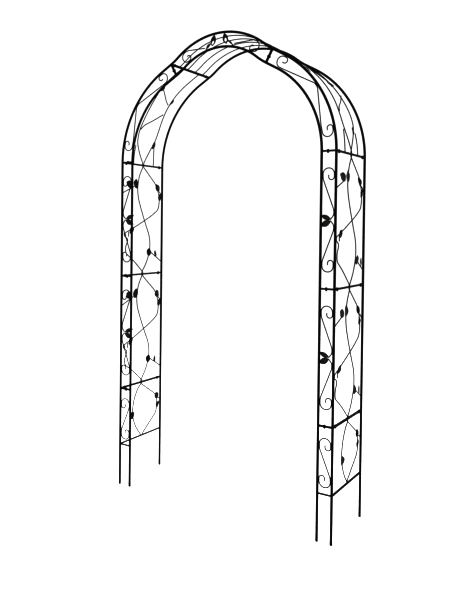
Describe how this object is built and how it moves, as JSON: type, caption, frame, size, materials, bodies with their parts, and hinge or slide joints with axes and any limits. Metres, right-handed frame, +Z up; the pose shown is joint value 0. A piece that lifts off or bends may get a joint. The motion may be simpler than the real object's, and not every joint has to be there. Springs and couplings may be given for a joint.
{
  "type": "garden trellis arch",
  "caption": "Bolted steel garden arch with a pointed crown, ladder fronts of scrollwork and side trellises of leafy vine wires; its bare legs push into the ground.",
  "frame": {"origin": "on the plane of the leg ends, at the middle of the arch's width and depth", "axes": "+Z up, +X across the opening to the right as seen from the front, -Y the front, where the scrollwork is"},
  "size_m": [1.4012, 0.4, 2.6409],
  "materials": {
    "tube_powder_coat": "black satin powder coat on steel tube, fine orange peel",
    "bar_powder_coat": "black satin powder coat on flat steel bar",
    "wire_powder_coat": "black satin powder coat on bent steel wire",
    "leaf_powder_coat": "black satin powder coat on pressed sheet leaves",
    "fastener_black_steel": "black coated bolts and nuts, slightly glossier than the frame",
    "spigot_steel": "plain drawn steel, hidden in the tubes",
    "leg_plug_plastic": "moulded black polythene"
  },
  "bodies": {
    "root": {"crown_bars": "bar_powder_coat", "crown_front_inner_tube": "tube_powder_coat", "crown_front_outer_tube": "tube_powder_coat", "crown_rear_tube": "tube_powder_coat", "crown_scrolls": "wire_powder_coat", "crown_vines": "wire_powder_coat", "joint_bolts": "fastener_black_steel", "joint_nuts": "fastener_black_steel", "left_bottom_bars": "bar_powder_coat", "left_bottom_front_inner_tube": "tube_powder_coat", "left_bottom_front_outer_tube": "tube_powder_coat", "left_bottom_rear_tube": "tube_powder_coat", "left_bottom_scrolls": "wire_powder_coat", "left_bottom_vines": "wire_powder_coat", "left_middle_bars": "bar_powder_coat", "left_middle_front_inner_tube": "tube_powder_coat", "left_middle_front_outer_tube": "tube_powder_coat", "left_middle_rear_tube": "tube_powder_coat", "left_middle_scrolls": "wire_powder_coat", "left_middle_vines": "wire_powder_coat", "left_quarter_bars": "bar_powder_coat", "left_quarter_front_inner_tube": "tube_powder_coat", "left_quarter_front_outer_tube": "tube_powder_coat", "left_quarter_rear_tube": "tube_powder_coat", "left_quarter_scrolls": "wire_powder_coat", "left_quarter_vines": "wire_powder_coat", "left_upper_bars": "bar_powder_coat", "left_upper_front_inner_tube": "tube_powder_coat", "left_upper_front_outer_tube": "tube_powder_coat", "left_upper_rear_tube": "tube_powder_coat", "left_upper_scrolls": "wire_powder_coat", "left_upper_vines": "wire_powder_coat", "leg_plugs": "leg_plug_plastic", "right_bottom_bars": "bar_powder_coat", "right_bottom_front_inner_tube": "tube_powder_coat", "right_bottom_front_outer_tube": "tube_powder_coat", "right_bottom_rear_tube": "tube_powder_coat", "right_bottom_scrolls": "wire_powder_coat", "right_bottom_vines": "wire_powder_coat", "right_middle_bars": "bar_powder_coat", "right_middle_front_inner_tube": "tube_powder_coat", "right_middle_front_outer_tube": "tube_powder_coat", "right_middle_rear_tube": "tube_powder_coat", "right_middle_scrolls": "wire_powder_coat", "right_middle_vines": "wire_powder_coat", "right_quarter_bars": "bar_powder_coat", "right_quarter_front_inner_tube": "tube_powder_coat", "right_quarter_front_outer_tube": "tube_powder_coat", "right_quarter_rear_tube": "tube_powder_coat", "right_quarter_scrolls": "wire_powder_coat", "right_quarter_vines": "wire_powder_coat", "right_upper_bars": "bar_powder_coat", "right_upper_front_inner_tube": "tube_powder_coat", "right_upper_front_outer_tube": "tube_powder_coat", "right_upper_rear_tube": "tube_powder_coat", "right_upper_scrolls": "wire_powder_coat", "right_upper_vines": "wire_powder_coat", "scroll_leaves": "leaf_powder_coat", "tube_spigots": "spigot_steel", "vine_leaves": "leaf_powder_coat"}
  },
  "joints": []
}
